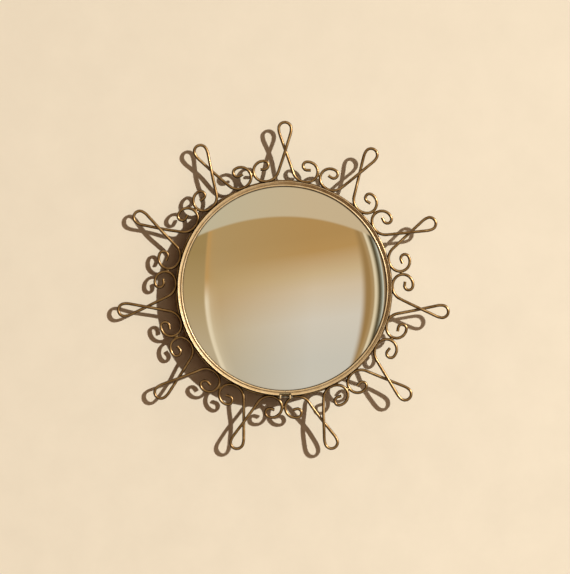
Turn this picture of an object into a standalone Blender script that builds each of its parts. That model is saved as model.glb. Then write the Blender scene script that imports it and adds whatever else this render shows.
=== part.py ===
"""Convex wall mirror in a slim brass rim, with eleven scrolled rays of round rod.

Metres, +Z up. The mirror faces -Y and its back is towards the wall at +Y.
The origin is on the rear face of the hanger strap, where the mirror meets its hook.
A depth is a distance in front of that rear face, towards -Y.
"""
import math

import bmesh
import bpy
from mathutils import Vector

# Fits between touching pieces
GAP = 0.0003                    # between two pieces that touch
TURN_STEPS = 44                 # facets round every large turned piece, four for each ray
MERGE = 0.00005                 # merge distance where a turned section closes

# Rim band, a rolled channel of brass sheet
RIM_RADIUS = 0.1470             # outside of the side wall
RIM_SHEET = 0.0012
RIM_REAR_DEPTH = 0.0010         # rear face of the turned-in lip
RIM_CREST_DEPTH = 0.0238        # the proud outer edge
RIM_CREST_WIDTH = 0.0010
RIM_EDGE_EASE = 0.0007          # rounding of the outer corners
REAR_LIP_WIDTH = 0.0055
FRONT_SLOPE_WIDTH = 0.0026
FRONT_SLOPE_DROP = 0.0024
BEAD_RADIUS = 0.0012            # the round lip against the glass
BEAD_SINK = 0.0005              # bead's centre behind the foot of the slope
BEAD_ARC_POINTS = 4

# Mirror glass
GLASS_THICKNESS = 0.0030
GLASS_RISE = 0.0220             # height of the dome over its edge
GLASS_EDGE_CLEARANCE = 0.0004   # round the edge, inside the band
GLASS_RINGS = 4

# Back pan, pressed from sheet
PAN_SHEET = 0.0010
PAN_WELL_DEPTH = 0.0065         # rear face of the recessed middle
PAN_BORDER = 0.0150             # flat border round the well, with the side wall
PAN_WELL_SLOPE = 0.0040

# Rays of round rod
RAY_COUNT = 11
ROD_DIAMETER = 0.0042
ROD_RESOLUTION = 1              # bevel resolution of the rods: six sides
RAY_DEPTH = 0.0126              # plane of the rods' centrelines
TIP_RADIUS = 0.2296             # top of the loop, from the mirror's centre
LOOP_BEND = 0.0086              # bend at the top of the loop, half the loop's width
LOOP_SIDE_BEND = 0.0250         # gentle bend of the loop's flanks
FOOT_BEND = 0.0190              # from the leg round to where it touches the rim
SCROLL_BEND = 0.0139
HOOK_BEND = 0.0058              # tight curl inside the scroll
TAIL_LENGTH = 0.0050            # straight end of the curl
HOOK_JOIN = math.radians(95.0)        # where the scroll tightens to the curl
SCROLL_JOIN = math.radians(-65.0)     # where the foot tightens to the scroll
BEND_STEP = math.radians(37.5)        # most that the rod turns at one point
# The rods are bent by hand, so each loop leans a little: degrees, clockwise from the front
RAY_LEAN_DEG = (-0.4, -0.3, -0.1, -0.5, -0.3, -1.1, 0.4, 0.4, -0.1, 1.0, 0.6)

# Wire hoop that carries the rays
HOOP_WIRE = 0.0030
HOOP_SIDES = 6

# Joint of the band, at the bottom
JOINT_TURN = math.radians(-0.6)       # joint's place, clockwise from straight down
SEAM_WIDTH = 0.0005
NOTCH_WIDTH = 0.0164            # opening in the front of the band, lugs included
NOTCH_ROOT = 0.0036             # metal left outside the bead's inner edge
LUG_THICKNESS = 0.0022
LUG_STAND = 0.0042              # how far the lugs stand out of the side wall
LUG_CORNER = 0.0010
LUG_SETBACK = 0.0010            # lug's front behind the rim's crest
CLAMP_SCREW_DIAMETER = 0.0020
CLAMP_HEAD_DIAMETER = 0.0036
CLAMP_HEAD_LENGTH = 0.0018
CLAMP_NUT_LENGTH = 0.0016
CLAMP_END = 0.0010              # screw end past the nut

# Hanger strap, at the top of the back
STRAP_CLEARANCE = 0.0020        # from its upper corners to the wall of the pan's well
STRAP_SHEET = 0.0015
STRAP_RAISED_WIDTH = 0.0340
STRAP_RAMP = 0.0040
STRAP_FOOT = 0.0120
STRAP_BELOW = 0.0090            # strap below the origin
STRAP_ABOVE = 0.0210            # strap above the origin
KEYHOLE_RADIUS = 0.0036
KEYHOLE_HEIGHT = 0.0080         # keyhole's round part above the origin
SLOT_WIDTH = 0.0036
SLOT_LENGTH = 0.0075
RIVET_DIAMETER = 0.0032
RIVET_HEAD_DIAMETER = 0.0064
RIVET_HEAD_HEIGHT = 0.0016

# Facets of small round things
SMALL_STEPS = 10
HOLE_SIDES = 12
NUT_SIDES = 6

# Worked out from the sizes above
ROD_RADIUS = ROD_DIAMETER / 2
RIM_BORE = RIM_RADIUS - RIM_SHEET
SLOPE_TOP_RADIUS = RIM_RADIUS - RIM_EDGE_EASE - RIM_CREST_WIDTH
SLOPE_FOOT_RADIUS = SLOPE_TOP_RADIUS - FRONT_SLOPE_WIDTH
SLOPE_FOOT_DEPTH = RIM_CREST_DEPTH - FRONT_SLOPE_DROP
BEAD_CENTRE_RADIUS = SLOPE_FOOT_RADIUS - BEAD_RADIUS
BEAD_CENTRE_DEPTH = SLOPE_FOOT_DEPTH - BEAD_SINK
LIP_RADIUS = BEAD_CENTRE_RADIUS - BEAD_RADIUS
LIP_REAR_DEPTH = BEAD_CENTRE_DEPTH - RIM_SHEET
GLASS_RADIUS = RIM_BORE - GLASS_EDGE_CLEARANCE
DOME_RADIUS = (GLASS_RADIUS ** 2 + GLASS_RISE ** 2) / (2 * GLASS_RISE)
PAN_RADIUS = RIM_BORE - GAP
PAN_REAR_DEPTH = RIM_REAR_DEPTH + RIM_SHEET + GAP
PAN_WELL_RADIUS = PAN_RADIUS - PAN_BORDER - PAN_WELL_SLOPE
STRAP_HALF_WIDTH = STRAP_RAISED_WIDTH / 2 + STRAP_RAMP + STRAP_FOOT
STRAP_CORNER_HEIGHT = math.sqrt((PAN_WELL_RADIUS - STRAP_CLEARANCE) ** 2 - STRAP_HALF_WIDTH ** 2)
CENTRE = Vector((0.0, 0.0, STRAP_ABOVE - STRAP_CORNER_HEIGHT))
HOOP_RADIUS = RIM_RADIUS + GAP + HOOP_WIRE / 2
HOOP_DEPTH = RAY_DEPTH - ROD_RADIUS - GAP - HOOP_WIRE / 2
LUG_REAR_DEPTH = RAY_DEPTH + ROD_RADIUS + 2 * GAP
LUG_FRONT_DEPTH = RIM_CREST_DEPTH - LUG_SETBACK
CUT_MARGIN = 0.0020             # how far a cutter runs past what it cuts


def linear(hex_colour):
    """Turn an sRGB hex colour into the linear values that a shader takes."""
    channels = [int(hex_colour[place:place + 2], 16) / 255 for place in (1, 3, 5)]
    return [value / 12.92 if value <= 0.04045 else ((value + 0.055) / 1.055) ** 2.4
            for value in channels]


def make_material(name, hex_colour, roughness, metallic):
    material = bpy.data.materials.new(name)
    material.use_nodes = True
    shader = material.node_tree.nodes["Principled BSDF"]
    shader.inputs["Base Color"].default_value = (*linear(hex_colour), 1.0)
    shader.inputs["Roughness"].default_value = roughness
    shader.inputs["Metallic"].default_value = metallic
    return material


def make_collection(name):
    collection = bpy.data.collections.new(name)
    bpy.context.scene.collection.children.link(collection)
    return collection


def add_object(name, data, collection, material=None, parent=None):
    """Put a mesh or curve in the scene under its name, as one piece."""
    piece = bpy.data.objects.new(name, data)
    collection.objects.link(piece)
    piece.parent = parent
    if material:
        data.materials.append(material)
    return piece


def turned(name, section, material, closed, steps=TURN_STEPS, parent=None):
    """Turn a section of (radius, height) points about its axis with a Screw modifier."""
    mesh = bpy.data.meshes.new(name)
    shape = bmesh.new()
    corners = [shape.verts.new((radius, 0.0, height)) for radius, height in section]
    for first, second in zip(corners, corners[1:]):
        shape.edges.new((first, second))
    if closed:
        shape.edges.new((corners[-1], corners[0]))
    shape.to_mesh(mesh)
    shape.free()
    piece = add_object(name, mesh, PARTS, material, parent)
    screw = piece.modifiers.new("Turn", "SCREW")
    screw.steps = steps
    screw.render_steps = steps
    screw.use_merge_vertices = True
    screw.merge_threshold = MERGE
    return piece


def turned_on_axis(name, section, material, closed=True):
    """Turn a section of (radius, depth) points about the mirror's own axis."""
    piece = turned(name, section, material, closed)
    piece.location = CENTRE
    piece.rotation_euler = (math.pi / 2, 0.0, 0.0)
    return piece


def box(name, low, high, collection, material=None, parent=None):
    """A block between two corners, given in its parent's axes."""
    mesh = bpy.data.meshes.new(name)
    shape = bmesh.new()
    bmesh.ops.create_cube(shape, size=1.0)
    bmesh.ops.scale(shape, vec=Vector(high) - Vector(low), verts=shape.verts)
    shape.to_mesh(mesh)
    shape.free()
    piece = add_object(name, mesh, collection, material, parent)
    piece.location = (Vector(low) + Vector(high)) / 2
    return piece


def rod_cutter(name, radius, length, place, turn, parent=None):
    """A cylinder that drills a hole of its own radius."""
    mesh = bpy.data.meshes.new(name)
    shape = bmesh.new()
    bmesh.ops.create_cone(shape, cap_ends=True, segments=HOLE_SIDES,
                          radius1=radius, radius2=radius, depth=length)
    shape.to_mesh(mesh)
    shape.free()
    cutter = add_object(name, mesh, CUTTERS, parent=parent)
    cutter.location = place
    cutter.rotation_euler = turn
    return cutter


def cut(piece, *cutters):
    for cutter in cutters:
        cutter.hide_render = True
        cutter.display_type = "WIRE"
        boolean = piece.modifiers.new(cutter.name, "BOOLEAN")
        boolean.operation = "DIFFERENCE"
        boolean.object = cutter


def dome_height(radius):
    """Height of the glass's front face over its edge."""
    return math.sqrt(DOME_RADIUS ** 2 - radius ** 2) - (DOME_RADIUS - GLASS_RISE)


GLASS_EDGE_DEPTH = LIP_REAR_DEPTH - GAP - dome_height(LIP_RADIUS)


def make_glass():
    """Bent glass disc: the front dome, then the edge, then the hollow back."""
    radii = [GLASS_RADIUS * ring / GLASS_RINGS for ring in range(GLASS_RINGS + 1)]
    front = [(radius, GLASS_EDGE_DEPTH + dome_height(radius)) for radius in radii]
    back = [(radius, depth - GLASS_THICKNESS) for radius, depth in reversed(front)]
    turned_on_axis("mirror_glass", front + back, SILVERED_GLASS, closed=False)


def make_rim_band():
    """Channel section: side wall, rear lip, bore, front lip with its bead, slope, crest."""
    lip_end = RIM_RADIUS - REAR_LIP_WIDTH
    lip_front = RIM_REAR_DEPTH + RIM_SHEET
    section = [
        (RIM_RADIUS, RIM_CREST_DEPTH - RIM_EDGE_EASE),
        (RIM_RADIUS, RIM_REAR_DEPTH + RIM_EDGE_EASE),
        (RIM_RADIUS - RIM_EDGE_EASE, RIM_REAR_DEPTH),
        (lip_end, RIM_REAR_DEPTH),
        (lip_end, lip_front),
        (RIM_BORE, lip_front),
        (RIM_BORE, LIP_REAR_DEPTH),
        (LIP_RADIUS, LIP_REAR_DEPTH),
    ]
    for point in range(BEAD_ARC_POINTS):
        angle = math.pi * (1.0 - point / BEAD_ARC_POINTS)
        section.append((BEAD_CENTRE_RADIUS + BEAD_RADIUS * math.cos(angle),
                        BEAD_CENTRE_DEPTH + BEAD_RADIUS * math.sin(angle)))
    section.append((SLOPE_FOOT_RADIUS, SLOPE_FOOT_DEPTH))
    section.append((SLOPE_TOP_RADIUS, RIM_CREST_DEPTH))
    section.append((RIM_RADIUS - RIM_EDGE_EASE, RIM_CREST_DEPTH))
    band = turned_on_axis("rim_band", section, GILT_BRASS)

    # Hairline seam through the whole section, and the wider notch for the lugs
    seam = box("seam_cutter",
               (-SEAM_WIDTH / 2, -(RIM_CREST_DEPTH + CUT_MARGIN), LIP_RADIUS - CUT_MARGIN),
               (SEAM_WIDTH / 2, CUT_MARGIN, RIM_RADIUS + CUT_MARGIN), CUTTERS, parent=JOINT)
    notch = box("notch_cutter",
                (-NOTCH_WIDTH / 2, -(RIM_CREST_DEPTH + CUT_MARGIN), LIP_RADIUS + NOTCH_ROOT),
                (NOTCH_WIDTH / 2, -LUG_REAR_DEPTH, RIM_RADIUS + CUT_MARGIN), CUTTERS, parent=JOINT)
    cut(band, seam, notch)


def make_clamp():
    """Two lugs in the notch, with the screw and nut that draw them together."""
    outer = NOTCH_WIDTH / 2 - GAP
    inner = outer - LUG_THICKNESS
    screw_height = RIM_RADIUS + CLAMP_HEAD_DIAMETER / 2 + GAP
    screw_depth = (LUG_FRONT_DEPTH + LUG_REAR_DEPTH) / 2
    screw_place = (0.0, -screw_depth, screw_height)
    hole = rod_cutter("lug_hole_cutter", CLAMP_SCREW_DIAMETER / 2 + GAP, NOTCH_WIDTH + CUT_MARGIN,
                      screw_place, (0.0, math.pi / 2, 0.0), JOINT)
    # From below, the mirror's left is the joint's right
    for name, near, far in (("clamp_lug_left", inner, outer), ("clamp_lug_right", -outer, -inner)):
        lug = box(name, (near, -LUG_FRONT_DEPTH, RIM_BORE), (far, -LUG_REAR_DEPTH, RIM_RADIUS + LUG_STAND),
                  PARTS, GILT_BRASS, JOINT)
        bevel = lug.modifiers.new("Corners", "BEVEL")
        bevel.width = LUG_CORNER / 2
        bevel.segments = 1
        cut(lug, hole)

    radius = CLAMP_SCREW_DIAMETER / 2
    head = CLAMP_HEAD_DIAMETER / 2
    head_foot = outer + GAP
    nut_top = -(outer + GAP)
    section = [
        (0.0, head_foot + CLAMP_HEAD_LENGTH),
        (0.6 * head, head_foot + CLAMP_HEAD_LENGTH),
        (head, head_foot + 0.6 * CLAMP_HEAD_LENGTH),
        (head, head_foot),
        (radius, head_foot),
        (radius, nut_top - CLAMP_NUT_LENGTH - CLAMP_END),
        (0.0, nut_top - CLAMP_NUT_LENGTH - CLAMP_END),
    ]
    screw = turned("clamp_screw", section, STEEL, False, SMALL_STEPS, JOINT)
    bore = (radius + GAP) / math.cos(math.pi / NUT_SIDES)
    section = [(head, nut_top), (head, nut_top - CLAMP_NUT_LENGTH),
               (bore, nut_top - CLAMP_NUT_LENGTH), (bore, nut_top)]
    nut = turned("clamp_nut", section, STEEL, True, NUT_SIDES, JOINT)
    for piece in (screw, nut):
        piece.location = screw_place
        piece.rotation_euler = (0.0, math.pi / 2, 0.0)


def make_hoop():
    bpy.ops.mesh.primitive_torus_add(major_radius=HOOP_RADIUS, minor_radius=HOOP_WIRE / 2,
                                     major_segments=TURN_STEPS, minor_segments=HOOP_SIDES)
    made = bpy.context.active_object
    mesh = made.data
    mesh.name = "ray_hoop"
    bpy.data.objects.remove(made)
    hoop = add_object("ray_hoop", mesh, PARTS, GILT_BRASS)
    hoop.location = CENTRE - Vector((0.0, HOOP_DEPTH, 0.0))
    hoop.rotation_euler = (math.pi / 2, 0.0, 0.0)


def on_circle(centre, radius, angle):
    return Vector((centre.x + radius * math.cos(angle), centre.y + radius * math.sin(angle)))


def bend(centre, radius, start, end):
    """Points along a clockwise bend, its start left out."""
    count = max(1, math.ceil((start - end) / BEND_STEP))
    return [on_circle(centre, radius, start + (end - start) * step / count)
            for step in range(1, count + 1)]


def half_ray():
    """Centreline of half a ray, from the end of its curl to the top of its loop.

    The half is drawn in the ray's own plane: x to the right, y along the ray, with the
    mirror's centre at (0, 0). All its bends turn clockwise: the curl, the scroll, the foot,
    the loop's flank and the loop's top. The leg is the straight that touches both the foot
    and the flank, and crosses the ray's axis on its way.
    """
    half_pitch = math.pi / RAY_COUNT
    border = Vector((math.cos(half_pitch), -math.sin(half_pitch)))
    joined = Vector((math.cos(SCROLL_JOIN), math.sin(SCROLL_JOIN)))
    foot_distance = RIM_RADIUS + GAP + ROD_RADIUS + FOOT_BEND
    room = SCROLL_BEND + ROD_RADIUS + GAP / 2 + (FOOT_BEND - SCROLL_BEND) * joined.dot(border)
    foot_angle = half_pitch - math.asin(room / foot_distance)
    foot = Vector((foot_distance * math.sin(foot_angle), foot_distance * math.cos(foot_angle)))
    scroll = foot + (FOOT_BEND - SCROLL_BEND) * joined
    hook = on_circle(scroll, SCROLL_BEND - HOOK_BEND, HOOK_JOIN)
    top = Vector((0.0, TIP_RADIUS - LOOP_BEND))
    flank = top + Vector((LOOP_SIDE_BEND - LOOP_BEND, 0.0))

    across = flank - foot
    straight = math.sqrt(across.length_squared - (LOOP_SIDE_BEND - FOOT_BEND) ** 2)
    heading = math.atan2(across.y, across.x) + math.atan2(LOOP_SIDE_BEND - FOOT_BEND, straight)
    off_leg = heading + math.pi / 2 - 2 * math.pi
    leg_start = on_circle(foot, FOOT_BEND, off_leg)
    leg_end = on_circle(flank, LOOP_SIDE_BEND, off_leg)
    crossing = leg_start.lerp(leg_end, leg_start.x / (leg_start.x - leg_end.x))

    touch_rim = -math.pi / 2 - foot_angle
    touch_next = -half_pitch
    tail = on_circle(hook, HOOK_BEND, -math.pi / 2)
    curled = [tail + Vector((TAIL_LENGTH, 0.0)), tail]
    curled += bend(hook, HOOK_BEND, -math.pi / 2, HOOK_JOIN - 2 * math.pi)
    curled += bend(scroll, SCROLL_BEND, HOOK_JOIN, touch_next)
    curled += bend(scroll, SCROLL_BEND, touch_next, SCROLL_JOIN)
    curled += bend(foot, FOOT_BEND, SCROLL_JOIN, touch_rim)
    curled += bend(foot, FOOT_BEND, touch_rim, off_leg)
    raised = [leg_start.lerp(crossing, 0.5), crossing, leg_end]
    raised += bend(flank, LOOP_SIDE_BEND, off_leg, -math.pi)
    raised += bend(top, LOOP_BEND, math.pi, math.pi / 2)
    return curled, raised, crossing.y


def ease(part):
    """Smooth rise from 0 to 1."""
    return part * part * (3.0 - 2.0 * part)


def ray_centreline(lean):
    """Whole centreline of one ray, with its legs apart at the crossing and its lean.

    The half that starts at the right-hand scroll passes behind at the crossing, and the
    other half, its mirror image, passes in front.
    """
    curled, raised, crossing_height = half_ray()
    apart = (ROD_DIAMETER + GAP) / 2
    foot_height = curled[-1].y
    half = [(point.x, 0.0, point.y, 0.0) for point in curled]
    for point in raised:
        if point.y > crossing_height:
            share = (TIP_RADIUS - point.y) / (TIP_RADIUS - crossing_height)
        else:
            share = (point.y - foot_height) / (crossing_height - foot_height)
        rise = (point.y - foot_height) / (TIP_RADIUS - foot_height)
        half.append((point.x, apart * ease(share), point.y, lean * ease(rise)))
    other_half = [(-x, -back, y, turn) for x, back, y, turn in reversed(half[:-1])]
    return [Vector((x * math.cos(turn) + y * math.sin(turn), back,
                    y * math.cos(turn) - x * math.sin(turn)))
            for x, back, y, turn in half + other_half]


def make_rays():
    """Eleven rods, each a poly curve with filled caps, turned to its place round the rim."""
    for number in range(RAY_COUNT):
        name = f"ray_{number + 1:02d}"
        curve = bpy.data.curves.new(name, "CURVE")
        curve.dimensions = "3D"
        curve.bevel_depth = ROD_RADIUS
        curve.bevel_resolution = ROD_RESOLUTION
        curve.use_fill_caps = True
        lean = RAY_LEAN_DEG[number % len(RAY_LEAN_DEG)]
        line = ray_centreline(math.radians(lean))
        spline = curve.splines.new("POLY")
        spline.points.add(len(line) - 1)
        for point, place in zip(spline.points, line):
            point.co = (*place, 1.0)
        ray = add_object(name, curve, PARTS, GILT_BRASS)
        ray.location = CENTRE - Vector((0.0, RAY_DEPTH, 0.0))
        ray.rotation_euler = (0.0, 2 * math.pi * number / RAY_COUNT, 0.0)


def rivet_places():
    """The strap's two rivets, in the middle of its feet."""
    offset = STRAP_HALF_WIDTH - STRAP_FOOT / 2
    height = (STRAP_ABOVE - STRAP_BELOW) / 2
    return {"left": Vector((-offset, 0.0, height)), "right": Vector((offset, 0.0, height))}


def make_pan():
    """Pressed pan: recessed middle, flat border and side wall up to the glass's edge."""
    border_end = PAN_RADIUS - PAN_BORDER
    well_end = PAN_WELL_RADIUS
    wall_top = GLASS_EDGE_DEPTH - GLASS_THICKNESS - GAP
    section = [
        (0.0, PAN_WELL_DEPTH + PAN_SHEET),
        (well_end, PAN_WELL_DEPTH + PAN_SHEET),
        (border_end, PAN_REAR_DEPTH + PAN_SHEET),
        (PAN_RADIUS - PAN_SHEET, PAN_REAR_DEPTH + PAN_SHEET),
        (PAN_RADIUS - PAN_SHEET, wall_top),
        (PAN_RADIUS, wall_top),
        (PAN_RADIUS, PAN_REAR_DEPTH + RIM_EDGE_EASE),
        (PAN_RADIUS - RIM_EDGE_EASE, PAN_REAR_DEPTH),
        (border_end, PAN_REAR_DEPTH),
        (well_end, PAN_WELL_DEPTH),
        (0.0, PAN_WELL_DEPTH),
    ]
    pan = turned_on_axis("back_pan", section, LACQUERED_STEEL, closed=False)
    cut(pan, *RIVET_HOLES)


def make_strap():
    """Joggled strap: a raised middle with a keyhole, and a foot at each end."""
    raised = STRAP_RAISED_WIDTH / 2
    foot_start = raised + STRAP_RAMP
    foot_end = STRAP_HALF_WIDTH
    foot_front = PAN_WELL_DEPTH - GAP
    foot_rear = foot_front - STRAP_SHEET
    shift = STRAP_SHEET * STRAP_RAMP / (STRAP_RAMP + foot_rear)
    rear = [(raised, 0.0), (foot_start, foot_rear), (foot_end, foot_rear)]
    front = [(foot_end, foot_front), (foot_start - shift, foot_front), (raised - shift, STRAP_SHEET)]
    outline = rear + front
    outline += [(-x, depth) for x, depth in reversed(outline)]

    curve = bpy.data.curves.new("hanger_strap", "CURVE")
    curve.dimensions = "2D"
    curve.fill_mode = "BOTH"
    curve.extrude = (STRAP_ABOVE + STRAP_BELOW) / 2
    spline = curve.splines.new("POLY")
    spline.points.add(len(outline) - 1)
    for point, (x, depth) in zip(spline.points, outline):
        point.co = (x, -depth, 0.0, 1.0)
    spline.use_cyclic_u = True
    guide = add_object("strap_outline", curve, CUTTERS)
    guide.location = (0.0, 0.0, (STRAP_ABOVE - STRAP_BELOW) / 2)

    # A curve takes no Boolean, so the strap is made a mesh before it is cut
    bpy.context.view_layer.update()
    evaluated = guide.evaluated_get(bpy.context.evaluated_depsgraph_get())
    mesh = bpy.data.meshes.new_from_object(evaluated)
    shape = bmesh.new()
    shape.from_mesh(mesh)
    bmesh.ops.remove_doubles(shape, verts=shape.verts, dist=MERGE)
    shape.to_mesh(mesh)
    shape.free()
    strap = add_object("hanger_strap", mesh, PARTS, STEEL)
    strap.matrix_world = guide.matrix_world
    bpy.data.objects.remove(guide)

    reach = STRAP_SHEET + 2 * CUT_MARGIN
    keyhole = rod_cutter("keyhole_cutter", KEYHOLE_RADIUS, reach, (0.0, 0.0, KEYHOLE_HEIGHT),
                         (math.pi / 2, 0.0, 0.0))
    slot = box("slot_cutter", (-SLOT_WIDTH / 2, -reach / 2, KEYHOLE_HEIGHT),
               (SLOT_WIDTH / 2, reach / 2, KEYHOLE_HEIGHT + SLOT_LENGTH), CUTTERS)
    cut(strap, keyhole, slot, *RIVET_HOLES)


def make_rivets():
    """Domed rivets through the strap's feet and the pan, clenched flat inside."""
    head = RIVET_HEAD_DIAMETER / 2
    radius = RIVET_DIAMETER / 2
    inside = PAN_WELL_DEPTH + PAN_SHEET + GAP
    outside = PAN_WELL_DEPTH - 2 * GAP - STRAP_SHEET
    section = [
        (0.0, inside + RIVET_HEAD_HEIGHT / 2),
        (head, inside + RIVET_HEAD_HEIGHT / 2),
        (head, inside),
        (radius, inside),
        (radius, outside),
        (head, outside),
        (0.7 * head, outside - 0.8 * RIVET_HEAD_HEIGHT),
        (0.0, outside - RIVET_HEAD_HEIGHT),
    ]
    for side, place in rivet_places().items():
        rivet = turned(f"hanger_rivet_{side}", section, STEEL, False, SMALL_STEPS)
        rivet.location = place
        rivet.rotation_euler = (math.pi / 2, 0.0, 0.0)


for scene_object in list(bpy.data.objects):
    bpy.data.objects.remove(scene_object)

PARTS = make_collection("convex_wall_mirror")
CUTTERS = make_collection("cutters")

GILT_BRASS = make_material("gilt brass", "#B98A45", 0.30, 1.0)
SILVERED_GLASS = make_material("silvered glass", "#D8D8D2", 0.03, 1.0)
LACQUERED_STEEL = make_material("brown lacquered steel", "#3A2B20", 0.50, 0.0)
STEEL = make_material("plated steel", "#9A958B", 0.35, 1.0)

JOINT = add_object("joint_place", None, CUTTERS)
JOINT.location = CENTRE
JOINT.rotation_euler = (0.0, math.pi + JOINT_TURN, 0.0)

RIVET_HOLES = [
    rod_cutter(f"rivet_hole_cutter_{side}", RIVET_DIAMETER / 2 + GAP, 4 * PAN_WELL_DEPTH, place,
               (math.pi / 2, 0.0, 0.0))
    for side, place in rivet_places().items()
]

make_glass()
make_rim_band()
make_clamp()
make_hoop()
make_rays()
make_pan()
make_strap()
make_rivets()

bpy.context.view_layer.update()
for piece in PARTS.objects:
    if piece.type == "MESH":
        piece.data.shade_smooth()
        piece.data.set_sharp_from_angle(angle=math.radians(35.0))
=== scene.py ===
import math

import bmesh
import bpy
from mathutils import Matrix, Vector


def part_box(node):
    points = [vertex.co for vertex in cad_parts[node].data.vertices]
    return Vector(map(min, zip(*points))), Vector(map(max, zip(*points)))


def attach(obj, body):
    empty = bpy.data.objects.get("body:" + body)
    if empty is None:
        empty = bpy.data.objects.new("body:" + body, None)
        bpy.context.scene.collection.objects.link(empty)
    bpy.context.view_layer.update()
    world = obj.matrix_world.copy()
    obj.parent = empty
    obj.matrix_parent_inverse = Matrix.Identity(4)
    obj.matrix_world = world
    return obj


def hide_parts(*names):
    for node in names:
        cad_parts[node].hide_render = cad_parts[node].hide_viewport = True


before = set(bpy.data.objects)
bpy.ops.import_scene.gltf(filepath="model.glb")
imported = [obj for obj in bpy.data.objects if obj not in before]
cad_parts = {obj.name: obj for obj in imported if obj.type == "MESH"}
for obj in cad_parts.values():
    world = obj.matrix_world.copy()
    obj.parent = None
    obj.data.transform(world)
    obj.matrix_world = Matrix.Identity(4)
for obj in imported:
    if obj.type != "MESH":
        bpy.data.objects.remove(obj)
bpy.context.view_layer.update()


# Mirror glass
# A disc of 3 mm float glass, slumped to a shallow dome and silvered on its back, with grey
# backing paint over the silver. Its edge is ground, and the band and the pan hold it.

glass_low, glass_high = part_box("mirror_glass")
CENTRE = Vector((0.0, 0.0, (glass_low.z + glass_high.z) / 2))
GLASS_RADIUS = (glass_high.x - glass_low.x) / 2
GLASS_APEX = -glass_low.y               # depths are measured from the hanger, towards -Y
GLASS_RISE = 0.0220
GLASS_THICKNESS = 0.0030
GLASS_ARRIS = 0.0004                    # ground edge
GLASS_RINGS = 48
EDGE_SHADE_FROM = 0.1375                      # radii between which shade beside the band is painted on
EDGE_SHADE_TO = 0.1425
GAP = 0.0003                            # between pieces that touch
ROUND_STEPS = 264                       # facets round every large piece, 24 for each ray
DOME_RADIUS = (GLASS_RADIUS ** 2 + GLASS_RISE ** 2) / (2 * GLASS_RISE)
# Large pieces are turned about the mirror's own axis, their depths towards the front
FACING = Matrix.Translation(CENTRE) @ Matrix(
    ((0, 1, 0, 0), (0, 0, -1, 0), (1, 0, 0, 0), (0, 0, 0, 1)))


def linear(hex_colour):
    """Linear colour of an sRGB hex value."""
    channels = [int(hex_colour[place:place + 2], 16) / 255 for place in (1, 3, 5)]
    return (*(value / 12.92 if value <= 0.04045 else ((value + 0.055) / 1.055) ** 2.4
              for value in channels), 1.0)


def result(node):
    """The first output that a node has in use."""
    return next(output for output in node.outputs if output.enabled)


def add_node(tree, kind, inputs=None, stops=None, **settings):
    """Add a node. Each input takes a value, a node or an output; stops fill its ramp."""
    node = tree.nodes.new(kind)
    for name, value in settings.items():
        setattr(node, name, value)
    for socket, value in (inputs or {}).items():
        if isinstance(value, bpy.types.Node):
            value = result(value)
        if isinstance(value, bpy.types.NodeSocket):
            tree.links.new(value, node.inputs[socket])
        else:
            node.inputs[socket].default_value = value
    for number, (place, colour) in enumerate(stops or ()):
        elements = node.color_ramp.elements
        stop = elements[number] if number < 2 else elements.new(place)
        stop.position = place
        stop.color = linear(colour)
    return node


def start_material(name, **shader_inputs):
    """A material with its Principled shader, and the Object coordinates of the piece."""
    material = bpy.data.materials.new(name)
    material.use_nodes = True
    tree = material.node_tree
    shader = tree.nodes["Principled BSDF"]
    for socket, value in shader_inputs.items():
        shader.inputs[socket.replace("_", " ")].default_value = value
    place = add_node(tree, "ShaderNodeTexCoord").outputs["Object"]
    return material, tree, shader, place


def link_looks(shader, **looks):
    """Link nodes to the shader's sockets."""
    for socket, node in looks.items():
        shader.id_data.links.new(result(node), shader.inputs[socket.replace("_", " ")])


def add_object(name, data):
    """Put an object that holds this data into the scene."""
    made = bpy.data.objects.new(name, data)
    bpy.context.scene.collection.objects.link(made)
    return made


def smooth(piece, sharp_from):
    """Shade a piece smooth between its sharp edges."""
    piece.data.shade_smooth()
    piece.data.set_sharp_from_angle(angle=math.radians(sharp_from))


def add_piece(name, shape, material, sharp_from=35.0):
    """Make an object of a bmesh, its faces outwards."""
    mesh = bpy.data.meshes.new(name)
    shape.normal_update()
    bmesh.ops.recalc_face_normals(shape, faces=shape.faces)
    shape.to_mesh(mesh)
    shape.free()
    mesh.materials.append(material)
    piece = add_object(name, mesh)
    smooth(piece, sharp_from)
    return piece


def spun(section, place=FACING, steps=ROUND_STEPS):
    """Turn a section of (radius, height) points about the Z axis of a placing matrix.

    One that starts on the axis also ends there, and any other is closed to a ring.
    """
    shape = bmesh.new()
    rings = []
    for radius, height in section:
        if radius < 1e-6:
            rings.append([shape.verts.new((0.0, 0.0, height))] * steps)
        else:
            turns = [2 * math.pi * step / steps for step in range(steps)]
            rings.append([shape.verts.new((radius * math.cos(turn), radius * math.sin(turn), height))
                          for turn in turns])
    pairs = list(zip(rings, rings[1:]))
    if section[0][0] > 0.0:
        pairs.append((rings[-1], rings[0]))
    for inner, outer in pairs:
        for step in range(steps):
            corners = [inner[step], outer[step], outer[step - 1], inner[step - 1]]
            shape.faces.new(dict.fromkeys(corners))
    shape.transform(place)
    return shape


def rounded(corners, parts=4):
    """A section's points, from corners (radius, depth, bend radius); 0 leaves one sharp."""
    points = []
    for number, (radius, depth, bend) in enumerate(corners):
        corner = Vector((radius, depth))
        if not bend:
            points.append(tuple(corner))
            continue
        before = (Vector(corners[number - 1][:2]) - corner).normalized()
        after = (Vector(corners[(number + 1) % len(corners)][:2]) - corner).normalized()
        half = before.angle(after) / 2
        centre = corner + (before + after).normalized() * bend / math.sin(half)
        start = corner + before * bend / math.tan(half) - centre
        end = corner + after * bend / math.tan(half) - centre
        for part in range(parts + 1):
            points.append(tuple(centre + start.lerp(end, part / parts).normalized() * bend))
    return points


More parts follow.
